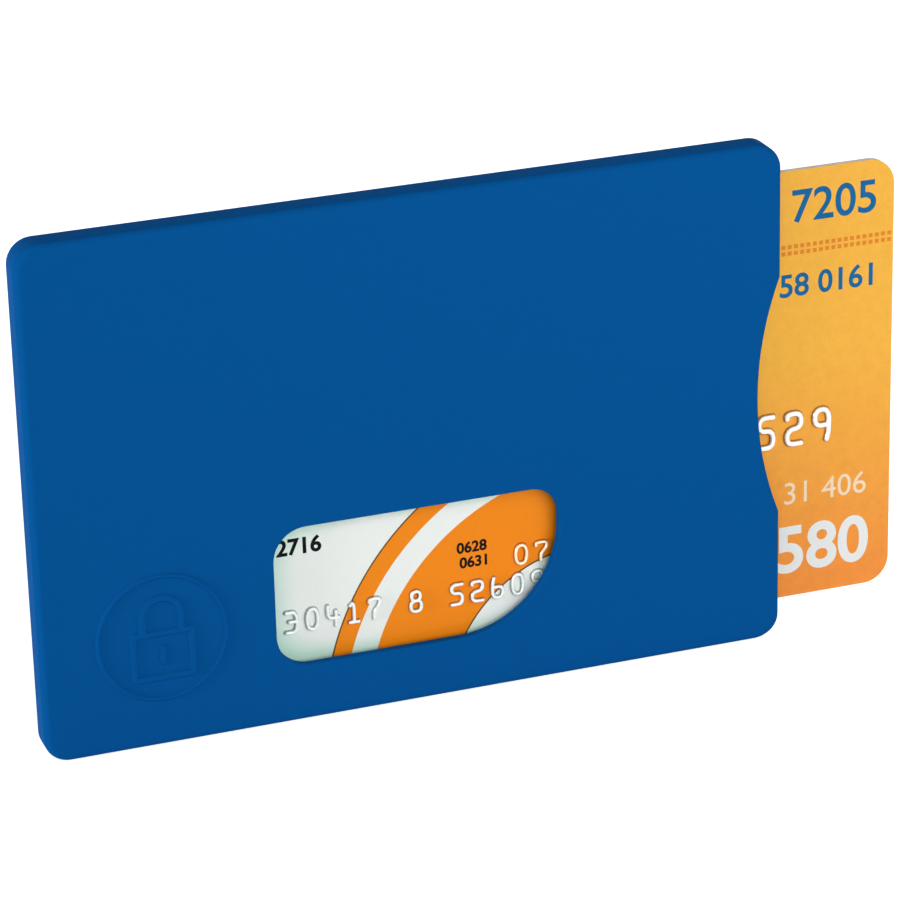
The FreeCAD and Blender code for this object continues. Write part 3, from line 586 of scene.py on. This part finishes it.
def raised_line(paths, flat, reach, height, surface):
    """A raised line along paths, as one closed shell on a surface that looks to the front.

    On a grid in X and Z, d is the distance to the nearest segment of a path. The line stands off
    by height times p, where p is 1 up to flat, falls as half a cosine wave, and is 0 from reach
    on, so it meets the surface without a crease. paths holds each path's points and whether it
    is closed. Returns the points, the faces and each point's p."""
    starts = np.concatenate([path if closed else path[:-1] for path, closed in paths])
    ends = np.concatenate([np.roll(path, -1, 0) if c else path[1:] for path, c in paths])
    low = np.minimum(starts, ends).min(0) - reach - 2 * GRID_STEP
    high = np.maximum(starts, ends).max(0) + reach + 2 * GRID_STEP
    x, z = (np.arange(a, b, GRID_STEP) for a, b in zip(low, high))
    place = np.stack(np.meshgrid(x, z, indexing="ij"), -1).reshape(-1, 2)
    side = ends - starts
    gap = place[:, None] - starts
    share = np.clip((gap * side).sum(-1) / (side**2).sum(-1), 0, 1)
    d = np.sqrt(((gap - side * share[..., None]) ** 2).sum(-1)).min(-1)
    p = 0.5 + 0.5 * np.cos(np.pi * np.clip((d - flat) / (reach - flat), 0, 1))
    # its skirt starts a little way inside the surface, and its back lies four times as deep
    sunk = 0.006
    faces = grid_faces(len(x), len(z))
    faces = faces[(d[faces] < reach + GRID_STEP / 2).any(1)]
    front = surface + sunk - (height + sunk) * p
    points, faces, used = closed_shell(place, front, surface + 4 * sunk, faces)
    return points, faces, np.concatenate([p[used], np.zeros(len(used))])


# Digits in a cell one wide and two high: corners of each path, and whether it is closed
DIGITS = {
    "0": (([(0, 0), (1, 0), (1, 2), (0, 2)], True),),
    "1": (([(0.15, 1.7), (0.5, 2), (0.5, 0)], False), ([(0.1, 0), (0.9, 0)], False)),
    "2": (([(0, 1.7), (0, 2), (1, 2), (1, 1.05), (0, 0.95), (0, 0), (1, 0)], False),),
    "3": (([(0, 2), (1, 2), (1, 0), (0, 0)], False), ([(0.3, 1.05), (1, 1.05)], False)),
    "4": (([(0, 2), (0, 0.75), (1, 0.75)], False), ([(0.75, 1.4), (0.75, 0)], False)),
    "5": (([(1, 2), (0, 2), (0, 1.12), (1, 1.12), (1, 0), (0, 0)], False),),
    "6": (([(0.15, 2), (0, 1.5), (0, 0), (1, 0), (1, 1.1), (0, 1.1)], False),),
    "7": (([(0, 1.7), (0, 2), (1, 2), (1, 1.4), (0.45, 0.8), (0.45, 0)], False),),
    "8": (
        ([(0, 0), (1, 0), (1, 1.08), (0, 1.08)], True),
        ([(0.1, 1.08), (0.9, 1.08), (0.9, 2), (0.1, 2)], True),
    ),
    "9": (([(0.85, 0), (1, 0.5), (1, 2), (0, 2), (0, 0.95), (1, 0.95)], False),),
}


def embossed_row(name, text, left, bottom, cell, pitch, look, material):
    """A row of embossed digits. left and bottom are in millimetres from the card's lower inner
    corner, cell is a digit's width and height, and the pitch leads from digit to digit."""
    width, height = cell
    stroke = height * STROKE
    points, faces, tips, count = [], [], [], 0
    for place, digit in enumerate(text):
        if digit not in DIGITS:
            continue
        corner = (CARD_LEFT + left + place * pitch, CARD_BOTTOM + bottom)
        paths = [
            (rounded(corners, closed) * (width, height / 2) + corner, closed)
            for corners, closed in DIGITS[digit]
        ]
        top, foot = stroke * STROKE_TOP, stroke * STROKE_FOOT
        shell, sheets, tip = raised_line(paths, top, foot, look.emboss / MM, CARD_FRONT)
        points.append(shell)
        faces += [sheet + count for sheet in sheets]
        tips.append(tip)
        count += len(shell)
    row = add_piece(name, np.concatenate(points), faces, "card", material)
    attribute = row.data.attributes.new("tip", "FLOAT", "POINT")
    attribute.data.foreach_set("value", np.concatenate(tips).astype(np.float32))


def printed_digits(name, text, right, bottom, height, material, bold):
    """Flat digits in the built-in typeface, with the depth of the ink, on the card's front. Their
    right end and baseline are in millimetres from the card's lower inner corner, and so is their
    height. bold over the height is the outlines' offset, in the typeface's own units."""
    curve = bpy.data.curves.new(name, "FONT")
    curve.body = text
    curve.resolution_u = 6
    curve.offset = bold / height
    source = bpy.data.objects.new(name, curve)
    bpy.context.scene.collection.objects.link(source)
    ready = source.evaluated_get(bpy.context.evaluated_depsgraph_get())
    shape = bpy.data.meshes.new_from_object(ready)
    bpy.data.objects.remove(source)
    flat = np.zeros(len(shape.vertices) * 3, np.float32)
    shape.vertices.foreach_get("co", flat)
    flat = flat.reshape(-1, 3)[:, :2].astype(float)
    shape.calc_loop_triangles()
    faces = np.zeros(len(shape.loop_triangles) * 3, np.int32)
    shape.loop_triangles.foreach_get("vertices", faces)
    bpy.data.meshes.remove(shape)
    flat -= flat.min(0)
    flat *= height / flat[:, 1].max()
    flat += (CARD_LEFT + right - flat[:, 0].max(), CARD_BOTTOM + bottom)
    faces = faces.reshape(-1, 3)
    points, faces, _ = closed_shell(flat, CARD_FRONT - INK_DEPTH, CARD_FRONT, faces)
    add_piece(name, points, faces, "card", material, smooth=False)


# ------------------------------------------------------------------ operators


class DressShells(bpy.types.Operator):
    """Finish the two moulded halves"""

    bl_idname = "card_sleeve.dress_shells"
    bl_label = "Finish the shells"

    def execute(self, context):
        finish_nodes(shell_material(context.scene.sleeve_look), "front_shell", "rear_shell")
        return {"FINISHED"}


# The badge's lines: how far their flat top and their foot reach to each side, in millimetres
RING_LINE = (0.1, 0.36)
LOCK_LINE = (0.24, 0.5)
# Points on the ring and on the shackle's half circle
RING_POINTS, ARCH_POINTS = 160, 25
# The padlock, in millimetres from the ring's centre
LOCK_WIDTH, LOCK_BOTTOM, LOCK_TOP = 7.0, -4.9, 0.6
SHACKLE_RADIUS, SHACKLE_CENTRE = 2.3, 2.6
KEYHOLE_TOP, KEYHOLE_BOTTOM = -1.3, -3.0


class RaiseBadge(bpy.types.Operator):
    """Raise the ring and the padlock on the front"""

    bl_idname = "card_sleeve.raise_badge"
    bl_label = "Raise the badge"

    def execute(self, context):
        look = context.scene.sleeve_look
        material = shell_material(look)
        centre = (CLOSED_END + look.badge_x / MM, look.badge_z / MM)
        height = look.badge_height / MM
        turn = np.linspace(0, 2 * np.pi, RING_POINTS, endpoint=False)
        ring = np.stack([np.cos(turn), np.sin(turn)], -1) * look.badge_radius / MM
        points, faces, _ = raised_line([(ring + centre, True)], *RING_LINE, height, FACE)
        add_piece("badge_ring", points, faces, "sleeve", material)

        # the padlock's body is a rectangle, its shackle a half circle on two legs
        side, low, high = LOCK_WIDTH / 2, LOCK_BOTTOM, LOCK_TOP
        body = np.array([(-side, low), (side, low), (side, high), (-side, high)])
        half = np.linspace(0, np.pi, ARCH_POINTS)
        arch = np.stack([np.cos(half), np.sin(half)], -1) * SHACKLE_RADIUS + (0, SHACKLE_CENTRE)
        shackle = np.concatenate([[(SHACKLE_RADIUS, high)], arch, [(-SHACKLE_RADIUS, high)]])
        keyhole = np.array([(0, KEYHOLE_TOP), (0, KEYHOLE_BOTTOM)])
        lines = [(body + centre, True), (shackle + centre, False), (keyhole + centre, False)]
        points, faces, _ = raised_line(lines, *LOCK_LINE, height, FACE)
        add_piece("badge_padlock", points, faces, "sleeve", material)
        return {"FINISHED"}


class DressShields(bpy.types.Operator):
    """Finish the shielding sheets and their adhesive films"""

    bl_idname = "card_sleeve.dress_shields"
    bl_label = "Finish the shielding"

    def execute(self, context):
        finish_nodes(rolled_aluminium(), "front_shield", "rear_shield")
        finish_nodes(acrylic_adhesive(), "front_shield_film", "rear_shield_film")
        return {"FINISHED"}


class PrintCard(bpy.types.Operator):
    """Print the card's two faces and its flat digits"""

    bl_idname = "card_sleeve.print_card"
    bl_label = "Print the card"

    def execute(self, context):
        look = context.scene.card_look
        finish_nodes(laminated_print("laminated_print", look), "card_front_overlay")
        finish_nodes(laminated_print("laminated_rear_print", look, rear=True), "card_rear_overlay")
        finish_nodes(calendered_pvc(), "card_front_core", "card_inlay", "card_rear_core")
        finish_nodes(oxide_stripe(), "card_magnetic_stripe")
        finish_nodes(writable_coating(), "card_signature_panel")
        inks = {
            "blue": screen_ink("blue_ink", tuple(look.blue)),
            "pale": screen_ink("pale_ink", linear("#FBE6C6")),
            "white": screen_ink("white_ink", linear("#F1F5F3")),
            "black": screen_ink("black_ink", linear("#0A0A0C")),
        }
        for name, (digits, right, bottom, height, ink, bold) in PRINTED_ROWS.items():
            printed_digits(name, digits, right, bottom, height, inks[ink], bold)
        return {"FINISHED"}


class EmbossCard(bpy.types.Operator):
    """Emboss the card's rows of digits"""

    bl_idname = "card_sleeve.emboss_card"
    bl_label = "Emboss the card"

    def execute(self, context):
        look = context.scene.card_look
        # Each row's darker sides are painted shade, and its tip colour is the hot-stamped foil
        silver = laminated_print("silver_tipped_print", look, tip="#F7F9F8")
        cream = laminated_print("cream_tipped_print", look, tip="#FFF0CF")
        worn = laminated_print("worn_tipped_shaded_print", look, tip="#EDF5F1", flank_shade_colour="#3E4A46")
        left = LARGE_END - LARGE_DIGIT[0] - (len(look.number) - 1) * LARGE_PITCH
        large_row = (look.number, left, LARGE_BOTTOM, LARGE_DIGIT, LARGE_PITCH)
        embossed_row("embossed_number", *large_row, look, silver)
        embossed_row("embossed_date", *DATE_ROW, look, cream)
        embossed_row("embossed_row", *LOWER_ROW, look, worn)
        return {"FINISHED"}


class DressModule(bpy.types.Operator):
    """Finish the chip module and the antenna"""

    bl_idname = "card_sleeve.dress_module"
    bl_label = "Finish the chip module"

    def execute(self, context):
        finish_nodes(gold_plate(), "card_contacts")
        finish_nodes(glass_epoxy(), "card_module_tape")
        finish_nodes(cast_resin(), "card_chip_capsule")
        finish_nodes(lapped_silicon(), "card_chip")
        finish_nodes(etched_aluminium(), "card_antenna")
        return {"FINISHED"}


# The photograph's camera, in millimetres and radians
CAMERA_PLACE = (-138.930, -410.656, 206.529)
CAMERA_YAW = 0.336768
CAMERA_PITCH = 0.385312
CAMERA_ROLL = -0.026449

# Each lamp's place and target in metres, and the side of its square
LEFT_LIGHT = ((-1.4, -0.14, 0.16), (0, 0, 0.03), 0.5)
FRONT_LIGHT = ((0.15, -0.4, 0.16), (0.01, 0, 0.03), 0.45)
REAR_LIGHT = ((0.0, 0.42, 0.07), (0, 0, 0.03), 0.3)

# The floor in millimetres, and what the camera adds to the light that it sees on it
FLOOR_REACH, FLOOR_DROP, FLOOR_LINES = 3000, 0.02, 9
FLOOR_GLOW = 0.75
# The ambient light's strength overhead, as a share of its strength at the horizon
OVERHEAD = 0.5


def shown_white(tree):
    """1 for rays that show the background: from the camera, a reflection or a clear body."""
    rays = node(tree, "LightPath", take=None).outputs
    seen = {0: rays["Is Camera Ray"], 1: rays["Is Glossy Ray"]}
    seen = {0: node(tree, "Math", seen, operation="MAXIMUM"), 1: rays["Is Transmission Ray"]}
    return node(tree, "Math", seen, operation="MAXIMUM")


def add_softbox(name, place, target, side, power, mirrored=True):
    """A square lamp that looks from its place to a target, in metres. mirrored says whether it
    shows in glossy surfaces."""
    lamp = bpy.data.lights.new(name, "AREA")
    lamp.size, lamp.energy = side, power
    made = bpy.data.objects.new(name, lamp)
    bpy.context.scene.collection.objects.link(made)
    made.visible_glossy = mirrored
    made.location = place
    made.rotation_euler = (Vector(target) - Vector(place)).to_track_quat("-Z", "Y").to_euler()


def stage_floor():
    """A level grid, painted matt white, which the camera sees brighter than it is lit."""
    material = bpy.data.materials.new("matt_white_paint")
    material.use_nodes = True
    tree = material.node_tree
    tree.nodes.clear()
    paint = node(tree, "BsdfDiffuse", {"Color": linear("#F6F6F6")})
    glow = node(tree, "Math", {0: shown_white(tree), 1: FLOOR_GLOW}, operation="MULTIPLY")
    both = {0: paint, 1: node(tree, "Emission", {"Strength": glow})}
    node(tree, "OutputMaterial", {"Surface": node(tree, "AddShader", both)}, take=None)
    across = np.linspace(-FLOOR_REACH, FLOOR_REACH, FLOOR_LINES)
    x, y = (a.ravel() for a in np.meshgrid(across, across, indexing="ij"))
    points = np.stack([x, y, np.full(x.size, -FLOOR_DROP)], -1)
    faces = [grid_faces(FLOOR_LINES, FLOOR_LINES)]
    add_piece("stage_floor", points, faces, None, material)


def stage_world(ambient):
    """White where it is seen. Where it lights, its strength falls from the horizon up."""
    world = bpy.data.worlds.new("stage_world")
    world.use_nodes = True
    tree = world.node_tree
    tree.nodes.clear()
    up = node(tree, "SeparateXYZ", {0: node(tree, "TexCoord", take="Generated")}, take="Z")
    level = node(tree, "MapRange", {"Value": up, 3: ambient, 4: ambient * OVERHEAD})
    strength = node(tree, "MapRange", {"Value": shown_white(tree), 3: level, 4: 1.0})
    light = node(tree, "Background", {"Color": (1, 1, 1), "Strength": strength})
    node(tree, "OutputWorld", {"Surface": light}, take=None)
    return world


def photo_camera(lens):
    """A camera that looks forward along (sin yaw cos pitch, cos yaw cos pitch, -sin pitch), with
    its level right hand and its up hand turned about that by the roll."""
    data = bpy.data.cameras.new("photo_camera")
    data.lens, data.sensor_width = lens, 36.0
    data.clip_start, data.clip_end = 0.01, 20.0
    camera = bpy.data.objects.new("photo_camera", data)
    bpy.context.scene.collection.objects.link(camera)
    flat = math.cos(CAMERA_PITCH)
    forward = Vector((math.sin(CAMERA_YAW) * flat, math.cos(CAMERA_YAW) * flat, 0))
    forward.z = -math.sin(CAMERA_PITCH)
    level = Vector((math.cos(CAMERA_YAW), -math.sin(CAMERA_YAW), 0))
    above = level.cross(forward)
    right = level * math.cos(CAMERA_ROLL) + above * math.sin(CAMERA_ROLL)
    up = above * math.cos(CAMERA_ROLL) - level * math.sin(CAMERA_ROLL)
    turned = Matrix((right, up, -forward)).transposed().to_4x4()
    camera.matrix_world = Matrix.Translation(Vector(CAMERA_PLACE) * MM) @ turned
    return camera


class SetStage(bpy.types.Operator):
    """Set the floor, the light and the camera"""

    bl_idname = "card_sleeve.set_stage"
    bl_label = "Set the stage"

    def execute(self, context):
        look = context.scene.stage_look
        context.scene.view_settings.view_transform = "Standard"
        stage_floor()
        context.scene.world = stage_world(look.ambient)
        add_softbox("left_light", *LEFT_LIGHT, look.left)
        add_softbox("front_light", *FRONT_LIGHT, look.front)
        add_softbox("rear_light", *REAR_LIGHT, look.rear, mirrored=False)
        context.scene.camera = photo_camera(look.lens)
        return {"FINISHED"}


class SleevePanel(bpy.types.Panel):
    """Lists the steps that dress the card sleeve, and what they read"""

    bl_idname = "VIEW3D_PT_card_sleeve"
    bl_label = "Card sleeve"
    bl_space_type = "VIEW_3D"
    bl_region_type = "UI"
    bl_category = "Card sleeve"

    def draw(self, context):
        for step in STEPS:
            self.layout.operator(step.bl_idname)
        for name, group in GROUPS.items():
            for value in group.__annotations__:
                self.layout.prop(getattr(context.scene, name), value)


GROUPS = {"sleeve_look": SleeveLook, "card_look": CardLook, "stage_look": StageLook}
STEPS = (DressShells, RaiseBadge, DressShields, PrintCard, EmbossCard, DressModule, SetStage)


def register():
    for made in (*GROUPS.values(), *STEPS, SleevePanel):
        bpy.utils.register_class(made)
    for name, group in GROUPS.items():
        setattr(bpy.types.Scene, name, PointerProperty(type=group))


def unregister():
    for name in GROUPS:
        delattr(bpy.types.Scene, name)
    for made in (SleevePanel, *reversed(STEPS), *GROUPS.values()):
        bpy.utils.unregister_class(made)


def main():
    register()
    bpy.ops.card_sleeve.dress_shells()
    bpy.ops.card_sleeve.raise_badge()
    bpy.ops.card_sleeve.dress_shields()
    bpy.ops.card_sleeve.print_card()
    bpy.ops.card_sleeve.emboss_card()
    bpy.ops.card_sleeve.dress_module()
    bpy.ops.card_sleeve.set_stage()


if __name__ == "__main__":
    main()
